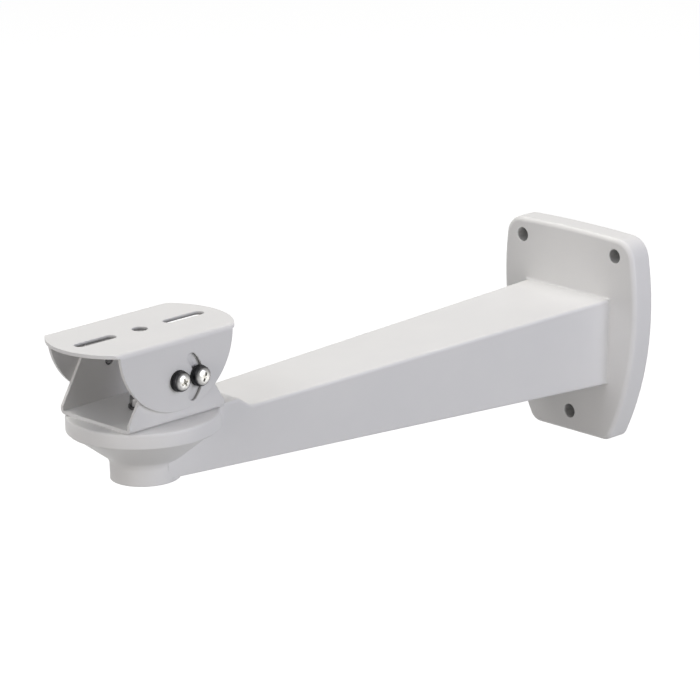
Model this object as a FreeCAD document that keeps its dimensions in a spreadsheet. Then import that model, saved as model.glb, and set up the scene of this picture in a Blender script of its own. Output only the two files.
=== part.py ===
import FreeCAD
import Part
import Sketcher
import math
import os

# Wall bracket for a camera housing: a cast arm on a three-hole wall plate, a round head
# pad, a folded channel that swivels on the pad and a folded saddle that tilts on the channel.
# Frame: millimetres, +Z up, wall plane at Y = 0, the arm runs along -Y, and the origin is
# midway between the two upper screw holes.

# Driving dimensions
SIZES = {
    # Wall plate
    "plate_shoulder": 19.3,
    "plate_thick": 14.5,
    "plate_above": 11.5,
    "plate_foot": 35.7,
    "plate_side_radius": 184.0,
    "plate_widest": 28.0,
    "plate_crown": 1.3,
    "plate_top_corner": 13.0,
    "plate_low_corner": 8.5,
    "plate_edge": 2.0,
    "plate_rim": 4.5,
    "plate_web": 5.5,
    "flank_share": 0.7,
    # Wall screw holes
    "hole_outset": 3.0,
    "hole_under_arm": 22.8,
    "hole_width": 8.5,
    "hole_land": 18.0,
    # Arm
    "arm_reach": 350.0,
    "root_width": 70.0,
    "root_drop": 27.0,
    "root_height": 54.2,
    "end_width": 42.0,
    "end_drop": 31.9,
    "end_height": 29.0,
    "arm_draft": 0.06,
    "arm_wall": 3.5,
    "root_fillet": 1.5,
    "core_end": 64.0,
    # Head pad, neck and boss
    "pad_drop": 25.5,
    "pad_width": 85.6,
    "pad_thick": 9.6,
    "pad_rim": 2.4,
    "pad_lip": 2.2,
    "pad_lip_edge": 1.0,
    "neck_length": 50.5,
    "neck_foot": 59.0,
    "neck_hollow": 8.0,
    "neck_brow": 4.0,
    "cone_depth": 26.0,
    "boss_width": 39.0,
    "boss_depth": 37.6,
    "nut_pocket_width": 27.0,
    "head_web": 14.0,
    # Swivel channel
    "channel_width": 58.0,
    "channel_length": 68.0,
    "channel_height": 40.0,
    "channel_sheet": 2.0,
    "channel_step": 4.5,
    "channel_crest": 25.0,
    "channel_crest_corner": 7.0,
    "channel_toe_corner": 2.0,
    "fold_inside": 1.0,
    # Tilt saddle
    "saddle_length": 108.4,
    "saddle_sheet": 2.0,
    "saddle_end_radius": 43.0,
    "saddle_cheek_radius": 40.0,
    "pivot_height": 23.5,
    "saddle_rise": 23.0,
    "slot_width": 7.0,
    "slot_length": 28.0,
    "slot_spread": 62.6,
    "register_hole": 9.0,
    # Tilt fasteners
    "screw_width": 6.0,
    "screw_length": 5.2,
    "screw_head": 11.5,
    "screw_head_height": 4.6,
    "washer_width": 12.0,
    "washer_thick": 1.2,
    "washer_play": 0.2,
    "thread_play": 0.02,
    "clamp_offset": 14.2,
    "clamp_play": 0.3,
    "clamp_sweep": 46.0,
    "pivot_play": 0.05,
    "cheek_play": 0.05,
    # Swivel fasteners
    "bolt_width": 8.0,
    "bolt_length": 28.0,
    "bolt_flats": 13.0,
    "bolt_head_height": 4.6,
    "bolt_washer_width": 16.0,
    "bolt_washer_thick": 1.6,
    "nut_flange_width": 17.5,
    "nut_flange_thick": 1.6,
    "bolt_nut_height": 6.5,
    "bolt_play": 0.2,
    "swivel_play": 0.08,
}

document = FreeCAD.newDocument("wall_bracket")
sheet = document.addObject("Spreadsheet::Sheet", "sizes")
for row, (word, number) in enumerate(SIZES.items(), start=1):
    sheet.set(f"A{row}", word)
    sheet.set(f"B{row}", str(number))
    sheet.setAlias(f"B{row}", word)
document.recompute()


class Size:
    """A length that carries its number and the expression that ties it to the sheet."""

    def __init__(self, number, text):
        self.number = number
        self.text = text

    def __add__(self, other):
        return Size(self.number + number_of(other), f"({self.text} + {text_of(other)})")

    def __radd__(self, other):
        return Size(number_of(other) + self.number, f"({text_of(other)} + {self.text})")

    def __sub__(self, other):
        return Size(self.number - number_of(other), f"({self.text} - {text_of(other)})")

    def __rsub__(self, other):
        return Size(number_of(other) - self.number, f"({text_of(other)} - {self.text})")

    def __mul__(self, other):
        return Size(self.number * number_of(other), f"({self.text} * {text_of(other)})")

    def __rmul__(self, other):
        return Size(number_of(other) * self.number, f"({text_of(other)} * {self.text})")

    def __truediv__(self, other):
        return Size(self.number / number_of(other), f"({self.text} / {text_of(other)})")

    def __neg__(self):
        return Size(-self.number, f"(-{self.text})")


def number_of(value):
    return value.number if isinstance(value, Size) else float(value)


def text_of(value):
    return value.text if isinstance(value, Size) else f"{float(value):g}"


def root_of(value):
    return Size(math.sqrt(value.number), f"sqrt({value.text})")


def size(word):
    return Size(float(sheet.get(word)), f"sizes.{word}")


def cosine(degrees):
    return Size(math.cos(math.radians(degrees.number)), f"cos({degrees.text})")


def sine(degrees):
    return Size(math.sin(math.radians(degrees.number)), f"sin({degrees.text})")


ROUND_END = "round end"


# Helpers for bodies, sketches and features
def new_body(label):
    body = document.addObject("PartDesign::Body", label)
    body.Label = label
    return body


def place(body, across, along, up, rotation=None):
    """Sets the body's own Placement, each coordinate tied to the sheet."""
    if rotation is not None:
        body.Placement = FreeCAD.Placement(FreeCAD.Vector(), rotation)
    for axis, value in zip("xyz", (across, along, up)):
        if isinstance(value, Size):
            body.setExpression(f".Placement.Base.{axis}", value.text)


def new_sketch(body, name, role, away=None):
    """A sketch on one of the body's origin planes, moved along the plane's normal."""
    sketch = body.newObject("Sketcher::SketchObject", name)
    plane = [item for item in body.Origin.OriginFeatures if item.Role == role][0]
    sketch.AttachmentSupport = [(plane, "")]
    sketch.MapMode = "FlatFace"
    if away is not None:
        sketch.setExpression(".AttachmentOffset.Base.z", text_of(away))
    return sketch


def hold(sketch, piece, end, place_xy, ways="xy"):
    """Holds one point of the sketch at its place from the sketch origin."""
    kinds = {"x": ("DistanceX", -2, place_xy[0]), "y": ("DistanceY", -1, place_xy[1])}
    for way in ways:
        kind, axis, value = kinds[way]
        if isinstance(value, Size):
            rule = Sketcher.Constraint(kind, -1, 1, piece, end, value.number)
            index = sketch.addConstraint(rule)
            sketch.setExpression(f"Constraints[{index}]", value.text)
        else:
            sketch.addConstraint(Sketcher.Constraint("PointOnObject", piece, end, axis))


def arc_between(start, end, radius, side):
    """An arc from start to end that bulges to the right of that direction when side is 1."""
    chord = end - start
    half = chord.Length / 2
    lift = math.sqrt(max(radius * radius - half * half, 0.0))
    normal = FreeCAD.Vector(-chord.y, chord.x, 0).normalize()
    centre = (start + end) / 2 + normal * lift * side
    circle = Part.Circle(centre, FreeCAD.Vector(0, 0, 1), radius)
    first, last = (start, end) if side > 0 else (end, start)
    angle = math.atan2(first.y - centre.y, first.x - centre.x)
    stop = math.atan2(last.y - centre.y, last.x - centre.x)
    if stop <= angle:
        stop += 2 * math.pi
    return Part.ArcOfCircle(circle, angle, stop)


def outline(sketch, corners):
    """Closes a loop. A corner is (x, y) or (x, y, radius, side): with a radius, the piece
    that leaves it is an arc, convex to an anticlockwise loop when side is 1. A radius given
    as ROUND_END makes that piece a half circle."""
    first = sketch.GeometryCount
    count = len(corners)
    spots = [FreeCAD.Vector(number_of(c[0]), number_of(c[1]), 0) for c in corners]
    ends = []
    for index, corner in enumerate(corners):
        start = spots[index]
        end = spots[(index + 1) % count]
        if len(corner) == 2:
            sketch.addGeometry(Part.LineSegment(start, end), False)
            ends.append((1, 2))
        else:
            half = (end - start).Length / 2
            radius = half if corner[2] is ROUND_END else corner[2].number
            sketch.addGeometry(arc_between(start, end, radius, corner[3]), False)
            ends.append((1, 2) if corner[3] > 0 else (2, 1))
    for index, corner in enumerate(corners):
        after = corners[(index + 1) % count]
        next_piece = first + (index + 1) % count
        link = (first + index, ends[index][1], next_piece, ends[(index + 1) % count][0])
        sketch.addConstraint(Sketcher.Constraint("Coincident", *link))
        hold(sketch, first + index, ends[index][0], corner)
        if len(corner) > 2 and corner[2] is ROUND_END:
            middle = ((corner[0] + after[0]) / 2, (corner[1] + after[1]) / 2)
            wide = abs(number_of(after[0]) - number_of(corner[0]))
            tall = abs(number_of(after[1]) - number_of(corner[1]))
            hold(sketch, first + index, 3, middle, "y" if wide > tall else "x")
        elif len(corner) > 2:
            rule = Sketcher.Constraint("Radius", first + index, corner[2].number)
            number = sketch.addConstraint(rule)
            sketch.setExpression(f"Constraints[{number}]", corner[2].text)


def rounded(x, y, radius, start, steps):
    """Points of a quarter round about (x, y), in equal flats, anticlockwise from a heading
    in degrees."""
    points = []
    for step in range(steps + 1):
        angle = math.radians(start + 90 * step / steps)
        points.append((x + radius * math.cos(angle), y + radius * math.sin(angle)))
    return points


def ring(sketch, radius, x=0, y=0):
    """A circle at a held centre."""
    centre = FreeCAD.Vector(number_of(x), number_of(y), 0)
    shape = Part.Circle(centre, FreeCAD.Vector(0, 0, 1), radius.number)
    piece = sketch.addGeometry(shape, False)
    number = sketch.addConstraint(Sketcher.Constraint("Radius", piece, radius.number))
    sketch.setExpression(f"Constraints[{number}]", radius.text)
    hold(sketch, piece, 3, (x, y))


def new_feature(body, kind, name, sketch, **values):
    feature = body.newObject(f"PartDesign::{kind}", name)
    feature.Profile = sketch
    for word, value in values.items():
        if isinstance(value, Size):
            feature.setExpression(word, value.text)
        else:
            setattr(feature, word, value)
    document.recompute()
    return feature


def through_both(body, name, sketch, reach):
    """Cuts the sketch out on both sides of its plane."""
    return new_feature(body, "Pocket", name, sketch, Type=0, Midplane=True, Length=reach)


def revolve(body, name, sketch):
    return new_feature(body, "Revolution", name, sketch, ReferenceAxis=(sketch, ["V_Axis"]), Angle=360.0)


def loft(body, kind, name, sections):
    feature = body.newObject(f"PartDesign::{kind}", name)
    feature.Profile = sections[0]
    feature.Sections = sections[1:]
    feature.Ruled = True
    document.recompute()
    return feature


def soften(body, kind, name, word, value, test):
    """Rounds or chamfers the edges of the body's last feature that pass the test."""
    base = body.Tip
    picked = [f"Edge{i}" for i, edge in enumerate(base.Shape.Edges, start=1) if test(edge)]
    if not picked:
        raise RuntimeError(f"{name} found no edges")
    feature = body.newObject(f"PartDesign::{kind}", name)
    feature.Base = (base, picked)
    feature.setExpression(word, value.text)
    document.recompute()
    return feature


NEAR = 0.02


def close(a, b):
    return abs(a - number_of(b)) < NEAR


def ends_of(edge):
    return edge.Vertexes[0].Point, edge.Vertexes[-1].Point


def runs_along(edge, axis):
    """True for a straight edge that runs along one of the axes."""
    start, end = ends_of(edge)
    step = end - start
    others = [abs(getattr(step, word)) for word in "xyz" if word != axis]
    return edge.Length > NEAR and max(others) < NEAR


# Named places that several pieces share
reach = size("arm_reach")
pad_top = -size("pad_drop")
channel_floor = pad_top + size("channel_sheet")
pivot_level = pad_top + size("pivot_height")
saddle_top = pivot_level + size("saddle_rise")
arm_base = -(size("root_drop") + size("root_height"))
plate_half = size("root_width") / 2 + size("plate_shoulder")
plate_bottom = arm_base - size("plate_foot")
hole_across = size("root_width") / 2 + size("hole_outset")
hole_below = arm_base - size("hole_under_arm")
cheek_inside = size("channel_width") / 2 + size("cheek_play")
cheek_face = cheek_inside + size("saddle_sheet")


# Wall plate, arm and head, cast in one piece
def side_at(level, inset):
    """Half the plate's width, less an inset, at a level measured from the screw holes."""
    radius = size("plate_side_radius") - inset
    rise = level + size("plate_widest")
    centre = plate_half - size("plate_side_radius")
    return centre + root_of(radius * radius - rise * rise)


def arm_half(along):
    """Half the arm's width at its top edge, at a distance from the wall."""
    taper = (size("end_width") - size("root_width")) * (along / reach)
    return (size("root_width") + taper) / 2


def arm_top(along):
    return -(size("root_drop") + (size("end_drop") - size("root_drop")) * (along / reach))


def arm_section(body, name, along, upper, inset):
    """A section of the arm, or with an inset of its core, at a distance from the wall: it
    narrows downwards by the casting draft."""
    half = arm_half(along) - inset
    top = arm_top(along)
    height = size("root_height") + (size("end_height") - size("root_height")) * (along / reach)
    lower = top - height + inset
    draft = size("arm_draft")
    high_half = half + draft * (upper - top)
    low_half = half + draft * (lower - top)
    sketch = new_sketch(body, name, "XZ_Plane", along)
    corners = [(-low_half, lower), (low_half, lower), (high_half, upper), (-high_half, upper)]
    outline(sketch, corners)
    return sketch


def build_plate(body):
    above = size("plate_above")
    crown = size("plate_crown")
    top = above - crown
    top_half = side_at(top, 0)
    low_half = side_at(plate_bottom, 0)
    side = size("plate_side_radius")
    crown_radius = (top_half * top_half + crown * crown) / (2 * crown)
    sketch = new_sketch(body, "plate_outline", "XZ_Plane")
    corners = [(-low_half, plate_bottom), (low_half, plate_bottom, side, 1)]
    corners += [(top_half, top, crown_radius, 1), (-top_half, top, side, 1)]
    outline(sketch, corners)
    new_feature(body, "Pad", "plate", sketch, Length=size("plate_thick"))
    middle = (above + plate_bottom).number / 2

    def upper_corner(edge):
        return runs_along(edge, "y") and edge.CenterOfMass.z > middle

    def lower_corner(edge):
        return runs_along(edge, "y") and edge.CenterOfMass.z < middle

    soften(body, "Fillet", "plate_upper_corners", "Radius", size("plate_top_corner"), upper_corner)
    soften(body, "Fillet", "plate_lower_corners", "Radius", size("plate_low_corner"), lower_corner)

    def front_edge(edge):
        return all(close(point.y, -size("plate_thick")) for point in ends_of(edge))

    soften(body, "Chamfer", "plate_front_edge", "Size", size("plate_edge"), front_edge)


def build_arm(body):
    """The arm is drawn up to the pad's level and then cut down to its own top, which leaves
    a neck with a ramp beside the pad."""
    nothing = Size(0.0, "0")
    sections = [arm_section(body, "arm_root", nothing, pad_top, 0)]
    sections.append(arm_section(body, "arm_end", reach, pad_top, 0))
    loft(body, "AdditiveLoft", "arm", sections)
    foot = reach - size("neck_foot")
    brow = reach - size("neck_length")
    cut = new_sketch(body, "arm_top_line", "YZ_Plane")
    front = size("plate_thick")
    corners = [(-front, arm_top(front)), (-front, 0), (-brow, 0), (-brow, pad_top)]
    corners.append((-foot, arm_top(foot)))
    outline(cut, corners)
    through_both(body, "arm_top", cut, plate_half * 2)

    def ramp_edge(y, z):
        def test(edge):
            middle = edge.CenterOfMass
            flat = runs_along(edge, "x") or abs(middle.x) < NEAR
            return flat and close(middle.y, -y) and close(middle.z, z)

        return test

    soften(body, "Fillet", "neck_foot_round", "Radius", size("neck_hollow"), ramp_edge(foot, arm_top(foot)))
    soften(body, "Fillet", "neck_brow_round", "Radius", size("neck_brow"), ramp_edge(brow, pad_top))


def build_head(body):
    """The round pad, the cone under it and the boss, turned about the swivel axis."""
    rim = size("pad_rim")
    lip = size("pad_lip_edge")
    radius = size("pad_width") / 2
    boss = size("boss_width") / 2
    under = pad_top - size("pad_thick")
    foot = pad_top - size("boss_depth")
    sketch = new_sketch(body, "head_profile", "XZ_Plane", reach)
    corners = [(0, foot), (boss, foot)]
    corners += [(boss, pad_top - size("cone_depth")), (radius - size("pad_lip"), under)]
    corners += rounded(radius - lip, under + lip, lip, -90, 1)
    corners += rounded(radius - rim, pad_top - rim, rim, 0, 2) + [(0, pad_top)]
    outline(sketch, corners)
    revolve(body, "head", sketch)


def build_root_fillet(body):
    front = -size("plate_thick")
    half = size("root_width") / 2

    def root_edge(edge):
        flat = all(close(point.y, front) for point in ends_of(edge))
        middle = edge.CenterOfMass
        inside = abs(middle.x) < half.number + 1 and middle.z < pad_top.number + 1
        return flat and inside and middle.z > arm_base.number + 5

    soften(body, "Fillet", "arm_root_fillet", "Radius", size("root_fillet"), root_edge)


def build_hollows(body):
    """The core of the arm, the recesses behind the plate and the nut pocket in the boss."""
    wall = size("arm_wall")
    nothing = Size(0.0, "0")
    tip = reach - size("core_end")
    sections = [arm_section(body, "core_mouth", nothing, arm_top(nothing) - wall, wall)]
    sections.append(arm_section(body, "core_tip", tip, arm_top(tip) - wall, wall))
    loft(body, "SubtractiveLoft", "core", sections)
    rim = size("plate_rim")
    side = size("plate_side_radius") - rim
    land = size("hole_land") / 2
    arm_high = -size("root_drop") + wall
    arm_low = arm_base - wall
    flank_low = -(size("root_drop") + size("root_height") * size("flank_share"))
    side_top = size("root_width") / 2 + wall + size("arm_draft") * (size("root_drop") - land)
    side_low = side_top + size("arm_draft") * (flank_low + land)
    top = size("plate_above") - size("plate_crown") - rim
    bay = hole_across - land
    sketch = new_sketch(body, "plate_recesses", "XZ_Plane")
    outline(sketch, [(-bay, arm_high), (bay, arm_high), (bay, top), (-bay, top)])
    bottom = plate_bottom + rim
    for hand in (1, -1):
        flank = [(hand * side_low, flank_low), (hand * side_at(flank_low, rim), flank_low, side, hand)]
        flank += [(hand * side_at(-land, rim), -land), (hand * side_top, -land)]
        outline(sketch, flank)
        ledge = arm_low - wall
        heel = [(hand * land, bottom), (hand * side_at(bottom, rim), bottom, side, hand)]
        heel += [(hand * side_at(ledge, rim), ledge), (hand * land, ledge)]
        outline(sketch, heel)
    depth = size("plate_thick") - size("plate_web")
    new_feature(body, "Pocket", "back_recesses", sketch, Length=depth, Reversed=True)
    pocket = new_sketch(body, "nut_pocket_outline", "XY_Plane", pad_top - size("boss_depth"))
    ring(pocket, size("nut_pocket_width") / 2, 0, -reach)
    depth = size("boss_depth") - size("head_web")
    new_feature(body, "Pocket", "nut_pocket", pocket, Length=depth, Reversed=True)
    bore = new_sketch(body, "swivel_bore_outline", "XY_Plane", pad_top - size("boss_depth"))
    ring(bore, size("bolt_width") / 2 + size("bolt_play"), 0, -reach)
    new_feature(body, "Pocket", "swivel_bore", bore, Length=size("boss_depth") + 1, Reversed=True)


def build_holes(body):
    radius = size("hole_width") / 2
    sketch = new_sketch(body, "hole_centres", "XZ_Plane")
    ring(sketch, radius, hole_across, 0)
    ring(sketch, radius, -hole_across, 0)
    ring(sketch, radius, 0, hole_below)
    new_feature(body, "Pocket", "wall_holes", sketch, Length=size("plate_thick") + 1, Reversed=True)


def build_wall_arm():
    body = new_body("wall_arm")
    build_plate(body)
    build_arm(body)
    build_head(body)
    build_root_fillet(body)
    build_hollows(body)
    build_holes(body)
    return body


# Swivel channel, folded from sheet: floor, two cheeks that narrow upwards
def build_swivel_channel():
    body = new_body("swivel_channel")
    place(body, 0, -reach, pad_top)
    half = size("channel_width") / 2
    sheet_t = size("channel_sheet")
    tall = size("channel_height")
    length = size("channel_length")
    inner = half - sheet_t
    sketch = new_sketch(body, "channel_profile", "XZ_Plane")
    corners = [(-half, 0), (half, 0), (half, tall), (inner, tall)]
    corners += [(inner, sheet_t), (-inner, sheet_t), (-inner, tall), (-half, tall)]
    outline(sketch, corners)
    new_feature(body, "Pad", "channel_fold", sketch, Length=length, Midplane=True)

    def outer_fold(edge):
        return runs_along(edge, "y") and close(edge.CenterOfMass.z, 0)

    soften(body, "Fillet", "outer_folds", "Radius", size("fold_inside") + sheet_t, outer_fold)
    cut = new_sketch(body, "cheek_outline", "YZ_Plane")
    toe = length / 2
    crest = size("channel_crest") / 2
    step = size("channel_step")
    beyond = toe + tall
    for hand in (1, -1):
        corners = [(hand * toe, step), (hand * beyond, step), (hand * beyond, tall * 2)]
        corners += [(hand * crest, tall * 2), (hand * crest, tall)]
        outline(cut, corners)
    through_both(body, "cheek_shape", cut, size("channel_width") * 2)

    def crest_corner(edge):
        middle = edge.CenterOfMass
        return runs_along(edge, "x") and close(middle.z, tall) and close(abs(middle.y), crest)

    def toe_corner(edge):
        middle = edge.CenterOfMass
        return runs_along(edge, "x") and close(middle.z, step) and close(abs(middle.y), toe)

    soften(body, "Fillet", "crest_corners", "Radius", size("channel_crest_corner"), crest_corner)
    soften(body, "Fillet", "toe_corners", "Radius", size("channel_toe_corner"), toe_corner)
    holes = new_sketch(body, "thread_holes", "YZ_Plane")
    thread = size("screw_width") / 2 + size("thread_play")
    ring(holes, thread, 0, size("pivot_height"))
    ring(holes, thread, size("clamp_offset"), size("pivot_height"))
    through_both(body, "thread_bores", holes, size("channel_width") * 2)
    floor = new_sketch(body, "swivel_hole", "XY_Plane")
    ring(floor, size("bolt_width") / 2 + size("swivel_play"), 0, 0)
    new_feature(body, "Pocket", "swivel_clearance", floor, Length=sheet_t * 2, Reversed=True)
    return body


# Tilt saddle, folded from sheet: a slotted table with a round cheek on each side
def build_tilt_saddle():
    body = new_body("tilt_saddle")
    place(body, 0, -reach, pivot_level)
    sheet_t = size("saddle_sheet")
    inner = cheek_inside
    outer = cheek_face
    top = size("saddle_rise")
    cheek = size("saddle_cheek_radius")
    low = top - cheek
    length = size("saddle_length")
    sketch = new_sketch(body, "saddle_profile", "XZ_Plane")
    corners = [(-outer, low), (-inner, low), (-inner, top - sheet_t), (inner, top - sheet_t)]
    corners += [(inner, low), (outer, low), (outer, top), (-outer, top)]
    outline(sketch, corners)
    new_feature(body, "Pad", "saddle_fold", sketch, Length=length, Midplane=True)

    def outer_fold(edge):
        return runs_along(edge, "y") and close(edge.CenterOfMass.z, top)

    soften(body, "Fillet", "outer_folds", "Radius", size("fold_inside") + sheet_t, outer_fold)
    table = new_sketch(body, "table_ends", "XY_Plane")
    bow = size("saddle_end_radius")
    tip = length / 2
    corner = tip - bow + root_of(bow * bow - outer * outer)
    for hand in (1, -1):
        wide = outer + sheet_t
        shoulder = tip - bow + root_of(bow * bow - wide * wide)
        far = tip + sheet_t
        corners = [(-wide, hand * shoulder, bow, -hand), (wide, hand * shoulder)]
        corners += [(wide, hand * far), (-wide, hand * far)]
        outline(table, corners)
    through_both(body, "bowed_ends", table, length)
    cheeks = new_sketch(body, "cheek_outline", "YZ_Plane")
    seat = top - sheet_t
    start = root_of(cheek * cheek - sheet_t * sheet_t)
    deep = low - sheet_t
    for hand in (1, -1):
        corners = [(hand * start, seat, cheek, -hand), (0, low), (0, deep)]
        corners += [(hand * length, deep), (hand * length, seat)]
        outline(cheeks, corners)
    through_both(body, "round_cheeks", cheeks, length)
    holes = new_sketch(body, "table_openings", "XY_Plane")
    half_slot = size("slot_width") / 2
    run = size("slot_length") / 2 - half_slot
    for hand in (1, -1):
        middle = hand * size("slot_spread") / 2
        corners = [(half_slot, middle - run), (half_slot, middle + run, ROUND_END, 1)]
        corners += [(-half_slot, middle + run), (-half_slot, middle - run, ROUND_END, 1)]
        outline(holes, corners)
    ring(holes, size("register_hole") / 2, 0, 0)
    new_feature(body, "Pocket", "table_slots", holes, Length=top + 1, Reversed=True)
    side = new_sketch(body, "cheek_openings", "YZ_Plane")
    ring(side, size("screw_width") / 2 + size("pivot_play"), 0, 0)
    half_slot = size("screw_width") / 2 + size("clamp_play")
    arc = size("clamp_offset")
    sweep = size("clamp_sweep")
    far = arc + half_slot
    near = arc - half_slot
    corners = [(near * cosine(sweep), -(near * sine(sweep)), ROUND_END, 1)]
    corners += [(far * cosine(sweep), -(far * sine(sweep)), far, 1)]
    corners += [(far * cosine(sweep), far * sine(sweep), ROUND_END, 1)]
    corners += [(near * cosine(sweep), near * sine(sweep), near, -1)]
    outline(side, corners)
    through_both(body, "cheek_slots", side, length)
    return body


# Fasteners, each turned about its own axis with +Z from the seat towards the head
def build_screw(label):
    """A pan-head screw: the seat of its head is at the body's origin."""
    body = new_body(label)
    shank = size("screw_width") / 2
    head = size("screw_head") / 2
    tall = size("screw_head_height")
    length = size("screw_length")
    sketch = new_sketch(body, "screw_profile", "XZ_Plane")
    outline(sketch, [(0, -length), (shank, -length), (shank, 0), (head, 0), (head, tall), (0, tall)])
    revolve(body, "screw", sketch)
    return body


def build_washer(label, width, hole, thick):
    body = new_body(label)
    sketch = new_sketch(body, "washer_outline", "XY_Plane")
    ring(sketch, width / 2)
    ring(sketch, hole / 2)
    new_feature(body, "Pad", "washer", sketch, Length=thick)
    return body


def hexagon(sketch, flats):
    """A hexagon by its width across flats, with two corners on the sketch's upright axis."""
    corner = flats / math.sqrt(3)
    half = flats / 2
    corners = [(0, -corner), (half, -(corner / 2)), (half, corner / 2)]
    corners += [(0, corner), (-half, corner / 2), (-half, -(corner / 2))]
    outline(sketch, corners)


def build_swivel_bolt():
    body = new_body("swivel_bolt")
    place(body, 0, -reach, channel_floor + size("bolt_washer_thick"))
    head = new_sketch(body, "bolt_head_outline", "XY_Plane")
    hexagon(head, size("bolt_flats"))
    new_feature(body, "Pad", "bolt_head", head, Length=size("bolt_head_height"))
    shank = new_sketch(body, "bolt_shank_outline", "XY_Plane")
    ring(shank, size("bolt_width") / 2)
    new_feature(body, "Pad", "bolt_shank", shank, Length=size("bolt_length"), Reversed=True)
    return body


def build_swivel_nut():
    """A flanged nut that pulls up against the roof of the pocket in the boss."""
    body = new_body("swivel_nut")
    tall = size("bolt_nut_height")
    flange = size("nut_flange_thick")
    place(body, 0, -reach, pad_top - size("head_web") - tall)
    sketch = new_sketch(body, "nut_outline", "XY_Plane")
    hexagon(sketch, size("bolt_flats"))
    new_feature(body, "Pad", "nut", sketch, Length=tall)
    rim = new_sketch(body, "flange_outline", "XY_Plane", tall)
    ring(rim, size("nut_flange_width") / 2)
    new_feature(body, "Pad", "flange", rim, Length=flange, Reversed=True)
    bore = new_sketch(body, "thread_outline", "XY_Plane", tall)
    ring(bore, size("bolt_width") / 2 + size("thread_play"))
    new_feature(body, "Pocket", "thread", bore, Length=tall)
    return body


def build_swivel_fasteners():
    hole = size("bolt_width") + 2 * size("bolt_play")
    washer = build_washer("swivel_washer", size("bolt_washer_width"), hole, size("bolt_washer_thick"))
    place(washer, 0, -reach, channel_floor)
    return [build_swivel_bolt(), washer, build_swivel_nut()]


def build_tilt_fasteners(name, along, hand, side):
    """One screw with its flat washer; it is threaded into the channel."""
    turn = FreeCAD.Rotation(FreeCAD.Vector(0, 1, 0), 90 * side)
    hole = size("screw_width") + 2 * size("washer_play")
    flat = size("washer_thick")
    spot = along - reach
    washer = build_washer(f"{name}_washer_{hand}", size("washer_width"), hole, flat)
    place(washer, side * cheek_face, spot, pivot_level, turn)
    screw = build_screw(f"{name}_screw_{hand}")
    place(screw, side * (cheek_face + flat), spot, pivot_level, turn)
    return [washer, screw]


pieces = [build_wall_arm(), build_swivel_channel(), build_tilt_saddle()]
pieces += build_swivel_fasteners()
zero = Size(0.0, "0")
for hand, side in (("right", 1), ("left", -1)):
    pieces += build_tilt_fasteners("pivot", zero, hand, side)
    pieces += build_tilt_fasteners("clamp", size("clamp_offset"), hand, side)

# Checks before anything is written
document.recompute()
for item in document.Objects:
    if "Invalid" in item.State or "Error" in item.State:
        raise RuntimeError(f"{item.Label} failed: {item.State}")
for piece in pieces:
    if piece.Shape.isNull() or not piece.Shape.isValid():
        raise RuntimeError(f"{piece.Label} has no valid shape")
    if len(piece.Shape.Solids) != 1:
        raise RuntimeError(f"{piece.Label} is {len(piece.Shape.Solids)} solids, not one")

os.makedirs("parts", exist_ok=True)
for piece in pieces:
    piece.Shape.exportStep(os.path.join("parts", f"{piece.Label}.step"))
    box = piece.Shape.BoundBox
    print(piece.Label, [round(v, 2) for v in (box.XMin, box.XMax, box.YMin, box.YMax, box.ZMin, box.ZMax)])
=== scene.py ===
import math
import bmesh
import bpy
from mathutils import Matrix, Vector


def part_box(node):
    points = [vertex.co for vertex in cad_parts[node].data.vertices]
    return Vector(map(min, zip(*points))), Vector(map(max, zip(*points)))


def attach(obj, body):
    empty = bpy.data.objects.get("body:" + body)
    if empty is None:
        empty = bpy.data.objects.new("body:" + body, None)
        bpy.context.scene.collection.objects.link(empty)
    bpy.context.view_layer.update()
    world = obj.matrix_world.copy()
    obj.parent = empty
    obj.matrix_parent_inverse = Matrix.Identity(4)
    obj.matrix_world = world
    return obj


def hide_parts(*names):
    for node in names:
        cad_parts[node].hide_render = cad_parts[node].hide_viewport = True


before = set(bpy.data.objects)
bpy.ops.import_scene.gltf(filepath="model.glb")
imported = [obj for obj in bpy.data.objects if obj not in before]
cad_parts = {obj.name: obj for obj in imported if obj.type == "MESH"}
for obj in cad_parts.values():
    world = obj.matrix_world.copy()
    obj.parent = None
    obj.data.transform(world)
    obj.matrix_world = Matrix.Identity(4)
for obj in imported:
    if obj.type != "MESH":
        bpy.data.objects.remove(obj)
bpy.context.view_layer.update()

# Wall arm: plate, hollow arm, neck and round head pad, die-cast in aluminium as one piece.
# Its edges are rounded by the die and by the off-white powder coat, which is a thick paint
# film with a fine pebbled skin. Little of it gets into the holes, whose walls are painted
# darker the deeper they lie: bare metal where the coat thins, and painted shade.
COAT_WHITE = (0.83, 0.825, 0.815, 1.0)
COAT_SHADE = (0.80, 0.797, 0.792, 1.0)
# Dark grey for the holes' walls: painted shade, and bare metal where the coat thins.
BARE_METAL_AND_HOLE_SHADE = (0.22, 0.22, 0.215, 1.0)
EDGE_SHARP = math.radians(28)
SMOOTH_BELOW = math.radians(32)
COAT_ROUND = 0.0008
FLAT_WITHIN = math.radians(0.4)
MERGE_WITHIN = 0.00001


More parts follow.
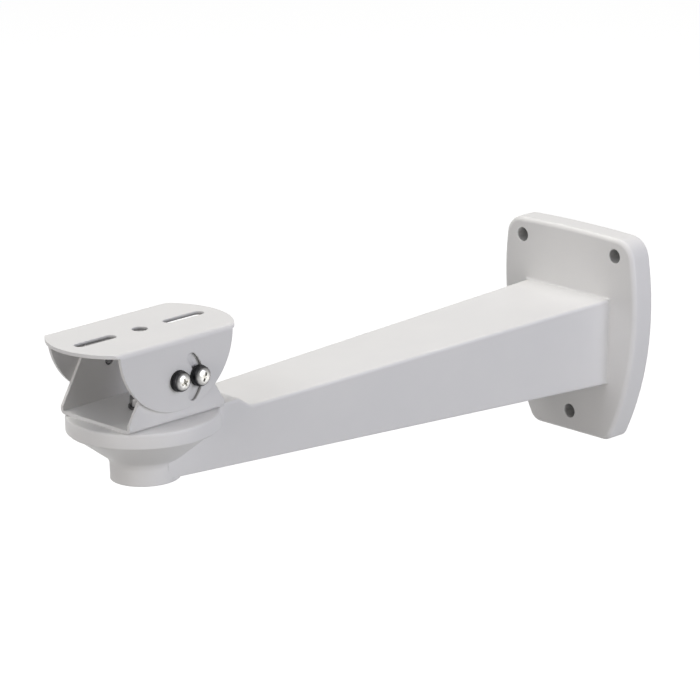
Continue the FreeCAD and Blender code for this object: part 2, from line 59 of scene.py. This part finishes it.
class Wire:
    """The output of a shader node, which reads like a number in a formula."""

    def __init__(self, tree, socket):
        self.tree = tree
        self.socket = socket

    def add(self, kind, result, inputs, **settings):
        """Adds a node with its settings first, then the values or wires of its sockets."""
        node = self.tree.nodes.new(kind)
        for name, value in settings.items():
            setattr(node, name, value)
        for socket in node.inputs:
            value = inputs.get(socket.identifier)
            if isinstance(value, Wire):
                self.tree.links.new(value.socket, socket)
            elif value is not None:
                socket.default_value = value
        found = [socket for socket in node.outputs if socket.identifier == result]
        return Wire(self.tree, found[0])

    def math(self, operation, other):
        inputs = {"Value": self, "Value_001": other}
        return self.add("ShaderNodeMath", "Value", inputs, operation=operation)

    def __add__(self, other):
        return self.math("ADD", other)

    __radd__ = __add__

    def __mul__(self, other):
        return self.math("MULTIPLY", other)

    __rmul__ = __mul__

    def __sub__(self, other):
        return self.math("SUBTRACT", other)

    def __rsub__(self, other):
        return (self * -1.0) + other

    def ramp(self, low, high):
        """0 below low, 1 above high, and a smooth step between them."""
        inputs = {"Value": self, "From Min": low, "From Max": high, "To Min": 0.0, "To Max": 1.0}
        return self.add("ShaderNodeMapRange", "Result", inputs, interpolation_type="SMOOTHSTEP")

    def blend(self, first, second):
        """A colour between two others, with this wire as the share of the second."""
        inputs = {"Factor_Float": self, "A_Color": first, "B_Color": second}
        return self.add("ShaderNodeMix", "Result_Color", inputs, data_type="RGBA")


def new_finish(name):
    """A material with its surface shader, and a wire that carries the object's own place."""
    finish = bpy.data.materials.new(name)
    finish.use_nodes = True
    tree = finish.node_tree
    tree.nodes.clear()
    shader = tree.nodes.new("ShaderNodeBsdfPrincipled")
    output = tree.nodes.new("ShaderNodeOutputMaterial")
    tree.links.new(shader.outputs["BSDF"], output.inputs["Surface"])
    place = tree.nodes.new("ShaderNodeTexCoord")
    return finish, shader, Wire(tree, place.outputs["Object"])


def noise(place, scale, detail=2.0):
    inputs = {"Vector": place, "Scale": scale, "Detail": detail, "Roughness": 0.55}
    return place.add("ShaderNodeTexNoise", "Fac", inputs)


def stored(place, name):
    """The value that the mesh stores under this name."""
    settings = {"attribute_name": name, "attribute_type": "GEOMETRY"}
    return place.add("ShaderNodeAttribute", "Fac", {}, **settings)


def powder_coat(name, rounding, light=COAT_WHITE, dark=COAT_SHADE):
    """Off-white powder coat: pebbles about a millimetre apart, a finer grain on them, and a
    film that is a little thicker in some places. It flows over edges, which rounds them. In a
    hole it turns speckled dark grey with depth: bare metal where it thins, and painted shade."""
    finish, shader, place = new_finish(name)
    tree = finish.node_tree
    pebbles = noise(place, 850.0)
    grain = noise(place, 2600.0, 1.0)
    drift = noise(place, 22.0, 3.0)
    bare_and_shade = stored(place, "bare_and_shade")
    film = (drift * 0.7 + grain * 0.3).ramp(0.3, 0.7).blend(dark, light)
    # Painted shade: the walls of holes turn dark grey the deeper they lie, speckled by the
    # pebbles.
    colour = (bare_and_shade + (pebbles - 0.5) * bare_and_shade * 0.5).ramp(0.0, 1.0).blend(film, BARE_METAL_AND_HOLE_SHADE)
    roughness = 0.40 + 0.12 * grain
    height = pebbles * 0.75 + grain * 0.25
    edges = place.add("ShaderNodeBevel", "Normal", {"Radius": rounding}, samples=8)
    skin = {"Height": height, "Strength": 0.22, "Distance": 0.00012, "Normal": edges}
    skin = place.add("ShaderNodeBump", "Normal", skin)
    tree.links.new(colour.socket, shader.inputs["Base Color"])
    tree.links.new(roughness.socket, shader.inputs["Roughness"])
    tree.links.new(skin.socket, shader.inputs["Normal"])
    return finish


def dressed_copy(node):
    """A copy of a CAD node that takes its place, with its loose triangles merged."""
    bpy.ops.object.select_all(action="DESELECT")
    piece = bpy.data.objects.new(f"{node}_finished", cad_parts[node].data.copy())
    piece.data.materials.clear()
    bpy.context.scene.collection.objects.link(piece)
    bpy.context.view_layer.objects.active = piece
    piece.select_set(True)
    bpy.ops.mesh.customdata_custom_splitnormals_clear()
    bpy.ops.object.mode_set(mode="EDIT")
    bpy.ops.mesh.select_all(action="SELECT")
    bpy.ops.mesh.remove_doubles(threshold=MERGE_WITHIN)
    bpy.ops.mesh.dissolve_limited(angle_limit=FLAT_WITHIN)
    bpy.ops.object.mode_set(mode="OBJECT")
    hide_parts(node)
    return piece


def round_edges(piece, chosen, width, segments=3, inner=False):
    """Rounds the sharp edges that are chosen by the place of their ends: the outer ones, or
    the inner ones of a corner."""
    bpy.ops.object.select_all(action="DESELECT")
    bpy.context.view_layer.objects.active = piece
    piece.select_set(True)
    bpy.ops.object.mode_set(mode="EDIT")
    bpy.ops.mesh.select_mode(type="EDGE")
    bpy.ops.mesh.select_all(action="DESELECT")
    shape = bmesh.from_edit_mesh(piece.data)
    for edge in shape.edges:
        if edge.is_manifold and edge.is_convex != inner and edge.calc_face_angle(0.0) > EDGE_SHARP:
            edge.select_set(chosen(edge.verts[0].co, edge.verts[1].co))
    bmesh.update_edit_mesh(piece.data)
    bpy.ops.mesh.bevel(
        offset=width, segments=segments, profile=0.5, affect="EDGES", clamp_overlap=False
    )
    bpy.ops.object.mode_set(mode="OBJECT")


def smooth_over(piece):
    """Smooth shading with flat faces kept flat."""
    bpy.ops.object.select_all(action="DESELECT")
    bpy.context.view_layer.objects.active = piece
    piece.select_set(True)
    bpy.ops.object.shade_smooth_by_angle(angle=SMOOTH_BELOW)
    even = piece.modifiers.new("flats", "WEIGHTED_NORMAL")
    even.keep_sharp = True
    bpy.ops.object.modifier_apply(modifier="flats")


def mark_bare_and_shade(piece, bare_and_shade_share):
    """Stores how dark the corners of each face are painted, as painted shade and as thinned
    coat; the walls of holes get darker the deeper they lie."""
    bare_and_shade = piece.data.attributes.new("bare_and_shade", "FLOAT", "CORNER")
    for face in piece.data.polygons:
        for corner in face.loop_indices:
            spot = piece.data.vertices[piece.data.loops[corner].vertex_index].co
            bare_and_shade.data[corner].value = bare_and_shade_share(face, spot)


# Sizes as the solids have them: the arm at the wall and at the swivel axis, the plate, its
# holes and the boss. What ends in ROUND is a radius that is only given here.
SWIVEL_REACH = 0.35
ROOT_HALF_WIDTH, END_HALF_WIDTH = 0.035, 0.021
ROOT_TOP, END_TOP = -0.027, -0.0319
ROOT_HEIGHT, END_HEIGHT = 0.0542, 0.029
SIDE_DRAFT = 0.06
ARM_STRETCH = (0.0159, 0.3125)
ARM_ROUND = 0.002
PLATE_FRONT = -0.0145
PLATE_BEVEL = 0.002
PLATE_ROUND = 0.001
WALL_HOLES = [(-0.038, 0.0), (0.038, 0.0), (0.0, -0.104)]
HOLE_MOUTH = 0.005
HOLE_ROUND = 0.0005
# Over this depth the painted shade in the wall-screw holes grows full, from a least share at their
# mouth.
BARE_AND_SHADE_DEPTH = 0.006
LEAST_BARE_AND_SHADE = 0.25
BOSS_RADIUS = 0.0195
BOSS_TOP = -0.0515
BOSS_ROUND = 0.003
# How near to its line an edge has to lie to be taken for it.
NEAR_SIDE, NEAR_LOW = 0.0004, 0.0006
NEAR_BOSS, NEAR_BOSS_TOP = 0.0003, 0.0002
NEAR_LEVEL = 0.00002


def along_arm(root, end, place):
    """A size of the arm that changes evenly from the wall to the swivel axis."""
    return root + (end - root) * -place / SWIVEL_REACH


def on_long_edge(start, end):
    """True on the arm's four long edges, which narrow from the plate to the head."""
    spot = (start + end) / 2
    if not ARM_STRETCH[0] < -spot.y < ARM_STRETCH[1]:
        return False
    high = along_arm(ROOT_TOP, END_TOP, spot.y)
    low = high - along_arm(ROOT_HEIGHT, END_HEIGHT, spot.y)
    half = along_arm(ROOT_HALF_WIDTH, END_HALF_WIDTH, spot.y) + SIDE_DRAFT * (spot.z - high)
    on_side = abs(abs(spot.x) - half) < NEAR_SIDE
    return on_side and (spot.z > high - NEAR_SIDE or abs(spot.z - low) < NEAR_LOW)


def near_hole(spot):
    return min(math.dist((spot.x, spot.z), hole) for hole in WALL_HOLES) < HOLE_MOUTH


def at_level(start, end, level):
    return max(abs(start.y - level), abs(end.y - level)) < NEAR_LEVEL


def on_plate_rim(start, end):
    """True on both edges of the bevel round the plate's front."""
    on_front = at_level(start, end, PLATE_FRONT)
    on_flank = at_level(start, end, PLATE_FRONT + PLATE_BEVEL)
    return (on_front or on_flank) and not near_hole(start)


def on_hole_mouth(start, end):
    return at_level(start, end, PLATE_FRONT) and near_hole(start)


def on_boss_root(start, end):
    """True on the corner between the cone under the pad and the boss."""
    for spot in (start, end):
        outward = math.hypot(spot.x, spot.y + SWIVEL_REACH) - BOSS_RADIUS
        if abs(outward) >= NEAR_BOSS or abs(spot.z - BOSS_TOP) >= NEAR_BOSS_TOP:
            return False
    return True


def wall_hole_depth(face, spot):
    """How much painted shade, with thinned coat, a corner gets deep in a wall-screw hole."""
    if not near_hole(face.center) or abs(face.normal.y) >= 0.5:
        return 0.0
    return min(max((spot.y - PLATE_FRONT - HOLE_ROUND) / BARE_AND_SHADE_DEPTH, LEAST_BARE_AND_SHADE), 1.0)


coat = powder_coat("cast_powder_coat", COAT_ROUND)
arm = dressed_copy("wall_arm")
round_edges(arm, on_long_edge, ARM_ROUND, 4)
round_edges(arm, on_plate_rim, PLATE_ROUND)
round_edges(arm, on_hole_mouth, HOLE_ROUND, 2)
round_edges(arm, on_boss_root, BOSS_ROUND, 5, inner=True)
smooth_over(arm)
# Painted shade down the walls of the wall-screw holes.
mark_bare_and_shade(arm, wall_hole_depth)
arm.data.materials.append(coat)
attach(arm, "arm")

# Swivel channel: 2 mm steel sheet, cut, folded to a U and coated like the arm. It turns on
# the pad about its one bolt, and its cheeks are tapped for the tilt screws.
SHEET_WHITE = (0.785, 0.78, 0.772, 1.0)
SHEET_SHADE = (0.757, 0.754, 0.75, 1.0)
SHEET_ROUND = 0.0005
sheet_coat = powder_coat("sheet_powder_coat", SHEET_ROUND, SHEET_WHITE, SHEET_SHADE)
channel = dressed_copy("swivel_channel")
smooth_over(channel)
channel.data.materials.append(sheet_coat)
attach(channel, "channel")

# Tilt saddle: 2 mm steel sheet folded down on both sides, with slots for the camera's
# screws in its table and an arc slot in each cheek, coated like the rest. The walls of its
# holes are painted darker the deeper they lie: thinned coat, and painted shade.
SHEET = 0.002
TABLE_TOP = 0.021
CHEEK_OUTSIDE = 0.03105
PIVOT = Vector((0.0, -SWIVEL_REACH, -0.002))
# Within these the table's holes lie, half across and half along it, and in the cheeks the
# pivot hole and the inner wall of the arc slot, and its outer wall.
TABLE_HOLES = (0.006, 0.047)
ARC_INNER_WALL = 0.0165
ARC_OUTER_WALL = 0.018


def saddle_hole_depth(face, spot):
    """How deep a corner of a hole's wall lies in the sheet, in the table or in a cheek, which sets
    its painted shade.
    """
    across, along, up = face.center - PIVOT
    in_table = face.center.z > TABLE_TOP - 1.1 * SHEET and abs(face.normal.z) < 0.2
    if in_table and abs(across) < TABLE_HOLES[0] and abs(along) < TABLE_HOLES[1]:
        return (TABLE_TOP - spot.z) / SHEET
    reach = Vector((0.0, along, up))
    faces_pivot = reach.dot(face.normal) < 0 and reach.length < ARC_OUTER_WALL
    if abs(face.normal.x) < 0.2 and (faces_pivot or reach.length < ARC_INNER_WALL):
        return (CHEEK_OUTSIDE - abs(spot.x)) / SHEET
    return 0.0


saddle = dressed_copy("tilt_saddle")
smooth_over(saddle)
# Painted shade down the walls of the saddle's slots and holes.
mark_bare_and_shade(saddle, saddle_hole_depth)
saddle.data.materials.append(sheet_coat)
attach(saddle, "saddle")

# Tilt screws: M6 pan heads with a cross recess, of bright stainless steel, each on its flat
# washer. The dome's middle is painted bright as a highlight, and its turned side, the thread
# and the washer are painted dark as shade and dark reflection.
# Painted highlight, half shade and shade of the steel, from the dome's middle outwards.
STEEL_PAINTED_HIGHLIGHT = (0.86, 0.85, 0.82, 1.0)
STEEL_PAINTED_HALF_SHADE = (0.36, 0.355, 0.35, 1.0)
STEEL_PAINTED_SHADE = (0.035, 0.035, 0.037, 1.0)
WASHER_THICK = 0.0012
SEAT = CHEEK_OUTSIDE + WASHER_THICK
# The outlines of screw and washer in millimetres: radius, and height over what it sits on.
THREAD_PITCH = 0.8
SCREW_TURNED = [(0.0, -5.15), (2.2, -5.15), (2.75, -4.7)]
for turn in range(5):
    SCREW_TURNED += [(2.98, -4.4 + turn * THREAD_PITCH), (2.62, -4.0 + turn * THREAD_PITCH)]
SCREW_TURNED += [(2.9, -0.3), (3.1, 0.0), (5.35, 0.0), (5.68, 0.16), (5.75, 0.5)]
SCREW_TURNED += [(5.73, 1.5), (5.6, 2.1), (5.3, 2.7), (4.8, 3.25), (4.1, 3.75)]
SCREW_TURNED += [(3.2, 4.15), (2.2, 4.4), (1.1, 4.53), (0.0, 4.57)]
WASHER_TURNED = [(3.2, 0.12), (3.3, 0.02), (5.9, 0.02), (6.0, 0.12), (6.0, 1.0)]
WASHER_TURNED += [(5.8, 1.18), (3.4, 1.18), (3.2, 1.05), (3.2, 0.12)]
TURNED_SIDES = 64
ON_AXIS = 0.02
TURNED_MERGE = 0.000008
RECESS_BAR = (0.0064, 0.0015, 0.004)
RECESS_FLOOR = 0.0015
RECESS_FOOT = (0.35, 0.7, 1)
# The radius at which the painted shade is full, and the least share of it that the thread gets.
HEAD_SHADE_RADIUS, WASHER_SHADE_RADIUS = 0.00575, 0.0062
THREAD_PAINTED_SHADE = 0.85


def turned_piece(name, profile):
    """A lathe-turned shape about Z, from points of radius and height in millimetres. A point
    on the axis becomes a tiny ring. The last ring of an outline that ends where it starts is
    merged with the first."""
    bpy.ops.object.select_all(action="DESELECT")
    rings = [(max(radius, ON_AXIS) / 1000, height / 1000) for radius, height in profile]
    start = (0, 0, rings[0][1])
    bpy.ops.mesh.primitive_circle_add(
        vertices=TURNED_SIDES, radius=rings[0][0], location=start
    )
    piece = bpy.context.object
    piece.name = name
    bpy.ops.object.transform_apply(location=True, rotation=True, scale=True)
    bpy.ops.object.mode_set(mode="EDIT")
    bpy.ops.mesh.select_all(action="SELECT")
    closed = profile[0] == profile[-1]
    if not closed:
        bpy.ops.mesh.edge_face_add()
    for (old_radius, old_height), (radius, height) in zip(rings, rings[1:]):
        rise = {"value": (0, 0, height - old_height)}
        if closed:
            bpy.ops.mesh.extrude_edges_move(TRANSFORM_OT_translate=rise)
        else:
            bpy.ops.mesh.extrude_region_move(TRANSFORM_OT_translate=rise)
        growth = radius / old_radius
        bpy.ops.transform.resize(value=(growth, growth, 1), center_override=(0, 0, height))
    bpy.ops.mesh.select_all(action="SELECT")
    bpy.ops.mesh.remove_doubles(threshold=TURNED_MERGE)
    bpy.ops.mesh.normals_make_consistent(inside=False)
    bpy.ops.object.mode_set(mode="OBJECT")
    return piece


def cut_away(piece, cutter):
    cut = piece.modifiers.new("cut", "BOOLEAN")
    cut.operation = "DIFFERENCE"
    cut.solver = "EXACT"
    cut.object = cutter
    bpy.ops.object.select_all(action="DESELECT")
    bpy.context.view_layer.objects.active = piece
    piece.select_set(True)
    bpy.ops.object.modifier_apply(modifier="cut")
    bpy.data.objects.remove(cutter)


def recess_wing(quarter):
    """One bar of the cross recess: it narrows towards its foot."""
    bpy.ops.object.select_all(action="DESELECT")
    middle = RECESS_FLOOR + RECESS_BAR[2] / 2
    bpy.ops.mesh.primitive_cube_add(size=1.0, location=(0, 0, middle))
    bar = bpy.context.object
    bpy.ops.transform.resize(value=RECESS_BAR)
    bpy.ops.object.transform_apply(location=True, rotation=True, scale=True)
    bpy.ops.object.mode_set(mode="EDIT")
    bpy.ops.mesh.select_all(action="DESELECT")
    shape = bmesh.from_edit_mesh(bar.data)
    for face in shape.faces:
        face.select_set(face.normal.z < -0.9)
    bmesh.update_edit_mesh(bar.data)
    bpy.ops.transform.resize(value=RECESS_FOOT, center_override=(0, 0, RECESS_FLOOR))
    bpy.ops.object.mode_set(mode="OBJECT")
    bar.data.transform(Matrix.Rotation(quarter, 4, "Z"))
    return bar


def bright_steel(name):
    """Stainless steel, rougher on the turned side; its colour is painted: a highlight on the dome,
    half shade around it and near-black shade on the side, thread and washer.
    """
    finish, shader, place = new_finish(name)
    tree = finish.node_tree
    painted_shade_reach = stored(place, "painted_shade_reach")
    shade_wobble = noise(place, 900.0, 3.0)
    fine = noise(place, 6000.0, 1.0)
    half_shade = (painted_shade_reach + (shade_wobble - 0.5) * 0.3).ramp(0.3, 0.72)
    side = (painted_shade_reach + (shade_wobble - 0.5) * 0.1).ramp(0.72, 0.92)
    # Painted highlight in the middle, painted shade outwards.
    colour = side.blend(half_shade.blend(STEEL_PAINTED_HIGHLIGHT, STEEL_PAINTED_HALF_SHADE), STEEL_PAINTED_SHADE)
    roughness = 0.16 + 0.16 * side + 0.1 * fine
    tree.links.new(colour.socket, shader.inputs["Base Color"])
    tree.links.new(roughness.socket, shader.inputs["Roughness"])
    shader.inputs["Metallic"].default_value = 1.0
    skin = {"Height": fine, "Strength": 0.1, "Distance": 0.00003}
    skin = place.add("ShaderNodeBump", "Normal", skin)
    tree.links.new(skin.socket, shader.inputs["Normal"])
    return finish


def mark_painted_shade(piece, full):
    """Stores how far out from its axis each point lies, for the steel's painted shade. The
    thread below the seat gets the shade of the side."""
    painted_shade_reach = piece.data.attributes.new("painted_shade_reach", "FLOAT", "POINT")
    for point, mark in zip(piece.data.vertices, painted_shade_reach.data):
        outward = math.hypot(point.co.x, point.co.y) / full
        mark.value = max(outward, THREAD_PAINTED_SHADE) if point.co.z < 0 else outward


steel = bright_steel("bright_steel_painted_shade")
screw = turned_piece("pan_screw", SCREW_TURNED)
cut_away(screw, recess_wing(0.0))
cut_away(screw, recess_wing(math.pi / 2))
mark_painted_shade(screw, HEAD_SHADE_RADIUS)
screw.data.materials.append(steel)
washer = turned_piece("tilt_washer", WASHER_TURNED)
mark_painted_shade(washer, WASHER_SHADE_RADIUS)
washer.data.materials.append(steel)
pivot = (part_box("pivot_screw_right")[0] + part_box("pivot_screw_right")[1]) / 2
clamp = (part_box("clamp_screw_right")[0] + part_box("clamp_screw_right")[1]) / 2
# Each screw was driven home to a turn of its own, in degrees.
places = [("pivot", "right", pivot, 20), ("clamp", "right", clamp, 65)]
places += [("pivot", "left", pivot, 48), ("clamp", "left", clamp, 5)]
for role, hand, centre, turn in places:
    way = 1 if hand == "right" else -1
    for model, part, seat in ((screw, "screw", SEAT), (washer, "washer", CHEEK_OUTSIDE)):
        node = f"{role}_{part}_{hand}"
        piece = bpy.data.objects.new(f"{node}_finished", model.data.copy())
        bpy.context.scene.collection.objects.link(piece)
        piece.data.transform(Matrix.Rotation(math.radians(turn), 4, "Z"))
        piece.data.transform(Matrix.Rotation(math.radians(90 * way), 4, "Y"))
        piece.data.transform(Matrix.Translation((way * seat, centre.y, centre.z)))
        smooth_over(piece)
        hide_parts(node)
        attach(piece, "channel")
bpy.data.objects.remove(screw)
bpy.data.objects.remove(washer)

# Swivel bolt, its washer and its flanged nut: M8 steel, the bolt and nut zinc-plated and the
# washer blackened. The zinc's grey is painted dark as shade, for the shaded channel and boss.
# The bolt comes down through the channel and the pad, and the nut sits in the boss.
OXIDE_BLACK = (0.045, 0.045, 0.047, 1.0)
OXIDE_WORN = (0.11, 0.107, 0.104, 1.0)
ZINC_SHADED_DARK = (0.20, 0.20, 0.205, 1.0)
ZINC_SHADED_LIGHT = (0.34, 0.34, 0.335, 1.0)
SMALL_ROUND = 0.0004


def black_oxide(name):
    """Black oxide on steel, mottled where it has worn thin."""
    finish, shader, place = new_finish(name)
    tree = finish.node_tree
    mottle = noise(place, 700.0, 3.0)
    fine = noise(place, 4200.0, 1.0)
    colour = (mottle * 0.6 + fine * 0.4).ramp(0.3, 0.75).blend(OXIDE_BLACK, OXIDE_WORN)
    roughness = 0.34 + 0.18 * fine
    tree.links.new(colour.socket, shader.inputs["Base Color"])
    tree.links.new(roughness.socket, shader.inputs["Roughness"])
    shader.inputs["Metallic"].default_value = 0.6
    return finish


def plated_steel(name):
    """Zinc-plated steel that clouds over in patches, its grey painted dark as shade."""
    finish, shader, place = new_finish(name)
    tree = finish.node_tree
    clouds = noise(place, 450.0, 3.0)
    fine = noise(place, 5000.0, 1.0)
    # Painted shade: both greys of the zinc are kept dark.
    colour = clouds.ramp(0.35, 0.68).blend(ZINC_SHADED_DARK, ZINC_SHADED_LIGHT)
    roughness = 0.32 + 0.16 * clouds + 0.06 * fine
    tree.links.new(colour.socket, shader.inputs["Base Color"])
    tree.links.new(roughness.socket, shader.inputs["Roughness"])
    shader.inputs["Metallic"].default_value = 1.0
    return finish


black = black_oxide("black_oxide_steel")
plated = plated_steel("plated_steel")
stack = [("swivel_bolt", plated, "bright_steel"), ("swivel_washer", black, "black_steel")]
stack += [("swivel_nut", plated, "bright_steel")]
for node, finish, slot in stack:
    piece = dressed_copy(node)
    round_edges(piece, lambda start, end: True, SMALL_ROUND)
    smooth_over(piece)
    piece.data.materials.append(finish)
    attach(piece, "arm")

# Studio: a plain pale floor well below the bracket, which can be looked through from below,
# and soft round lamps from the left, above, the front, behind and the right, in a room that
# looks white but gives little light. Each lamp was weighed against the photo.
FLOOR_LEVEL = -0.46
FLOOR_SIZE = 24.0
FLOOR_GREY = (0.32, 0.32, 0.32, 1.0)
FLOOR_GLOW = 0.93
ROOM_COLOUR = (0.975, 0.975, 1.0, 1.0)
ROOM_LIGHT = 0.03
LAMPS_AIM = Vector((0, -0.2, -0.05))


def seen_directly(tree):
    """1 for a ray that the camera, a glossy surface or glass sends out, and 0 for others."""
    path = tree.nodes.new("ShaderNodeLightPath")
    from_camera = Wire(tree, path.outputs["Is Camera Ray"])
    from_gloss = Wire(tree, path.outputs["Is Glossy Ray"])
    from_glass = Wire(tree, path.outputs["Is Transmission Ray"])
    return from_camera.math("MAXIMUM", from_gloss).math("MAXIMUM", from_glass)


bpy.ops.object.select_all(action="DESELECT")
bpy.ops.mesh.primitive_plane_add(size=FLOOR_SIZE, location=(0, 0, FLOOR_LEVEL))
floor = bpy.context.object
floor.name = "studio_floor"
bpy.ops.object.transform_apply(location=True, rotation=True, scale=True)
paint = bpy.data.materials.new("pale_floor")
paint.use_nodes = True
tree = paint.node_tree
tree.nodes.clear()
matt = tree.nodes.new("ShaderNodeBsdfDiffuse")
matt.inputs["Color"].default_value = FLOOR_GREY
glow = tree.nodes.new("ShaderNodeEmission")
glow.inputs["Strength"].default_value = FLOOR_GLOW
both = tree.nodes.new("ShaderNodeAddShader")
seen = tree.nodes.new("ShaderNodeMixShader")
output = tree.nodes.new("ShaderNodeOutputMaterial")
tree.links.new(matt.outputs[0], both.inputs[0])
tree.links.new(glow.outputs[0], both.inputs[1])
tree.links.new(seen_directly(tree).socket, seen.inputs[0])
tree.links.new(matt.outputs[0], seen.inputs[1])
tree.links.new(both.outputs[0], seen.inputs[2])
surface = tree.nodes.new("ShaderNodeNewGeometry")
clear = tree.nodes.new("ShaderNodeBsdfTransparent")
one_sided = tree.nodes.new("ShaderNodeMixShader")
tree.links.new(surface.outputs["Backfacing"], one_sided.inputs[0])
tree.links.new(seen.outputs[0], one_sided.inputs[1])
tree.links.new(clear.outputs[0], one_sided.inputs[2])
tree.links.new(one_sided.outputs[0], output.inputs["Surface"])
floor.data.materials.append(paint)

world = bpy.data.worlds.new("pale_room")
bpy.context.scene.world = world
world.use_nodes = True
tree = world.node_tree
tree.nodes.clear()
room = tree.nodes.new("ShaderNodeBackground")
room.inputs["Color"].default_value = ROOM_COLOUR
room.inputs["Strength"].default_value = ROOM_LIGHT
white = tree.nodes.new("ShaderNodeBackground")
seen = tree.nodes.new("ShaderNodeMixShader")
output = tree.nodes.new("ShaderNodeOutputWorld")
tree.links.new(seen_directly(tree).socket, seen.inputs[0])
tree.links.new(room.outputs[0], seen.inputs[1])
tree.links.new(white.outputs[0], seen.inputs[2])
tree.links.new(seen.outputs[0], output.inputs["Surface"])


def soft_lamp(name, place, width, watts, colour):
    light = bpy.data.lights.new(name, "AREA")
    light.shape = "DISK"
    light.size = width
    light.energy = watts
    light.color = colour
    lamp = bpy.data.objects.new(name, light)
    bpy.context.scene.collection.objects.link(lamp)
    lamp.visible_camera = False
    lamp.location = place
    lamp.rotation_euler = (LAMPS_AIM - Vector(place)).to_track_quat("-Z", "Y").to_euler()


soft_lamp("lamp_left", (-1.2, -0.2, 2.03), 1.3, 32.0, (1.0, 0.985, 0.94))
soft_lamp("lamp_above", (0.0, -1.9, 1.65), 1.3, 9.6, (0.94, 0.955, 1.0))
soft_lamp("lamp_front", (0.41, -2.54, 0.28), 1.3, 15.8, (1.0, 0.955, 0.932))
soft_lamp("lamp_behind", (0.0, 0.42, 2.27), 1.3, 10.6, (1.0, 0.964, 0.952))
soft_lamp("lamp_side", (2.34, 0.0, 0.45), 1.3, 13.1, (0.985, 1.0, 0.98))
soft_lamp("lamp_side_near", (1.2, 0.15, 0.4), 0.8, 5.3, (0.86, 0.857, 1.0))

# Camera, fitted to the photograph: the way that it looks, its focal length in pixels, and
# the pixel and the depth at which it sees the middle of the pad's top.
FRAME_PIXELS = 700.0
FOCAL_PIXELS = 4000.0
SENSOR = 36.0
PAD_PIXEL = (142.94, 410.41)
PAD_DEPTH = 2.1858
PAD_MIDDLE = Vector((0, -SWIVEL_REACH, -0.0255))
HEADING = math.radians(47.15)
LOOK_DOWN = math.radians(16.69)
ROLL = math.radians(-1.37)
right = Vector((math.cos(HEADING), math.sin(HEADING), 0))
level = Vector((-math.sin(HEADING), math.cos(HEADING), 0))
ahead = level * math.cos(LOOK_DOWN) - Vector((0, 0, math.sin(LOOK_DOWN)))
down = ahead.cross(right)
across = math.cos(ROLL) * right - math.sin(ROLL) * down
below = math.sin(ROLL) * right + math.cos(ROLL) * down
shift_right, shift_down = [(pixel - FRAME_PIXELS / 2) / FOCAL_PIXELS for pixel in PAD_PIXEL]
to_pad = (ahead + across * shift_right + below * shift_down) * PAD_DEPTH
view = bpy.data.cameras.new("camera")
view.lens = FOCAL_PIXELS / FRAME_PIXELS * SENSOR
view.sensor_width = SENSOR
view.sensor_fit = "HORIZONTAL"
view.clip_end = 60.0
camera = bpy.data.objects.new("camera", view)
bpy.context.scene.collection.objects.link(camera)
columns = Matrix((across, -below, -ahead)).transposed().to_4x4()
camera.matrix_world = Matrix.Translation(PAD_MIDDLE - to_pad) @ columns
bpy.context.scene.camera = camera
bpy.context.scene.view_settings.view_transform = "Standard"
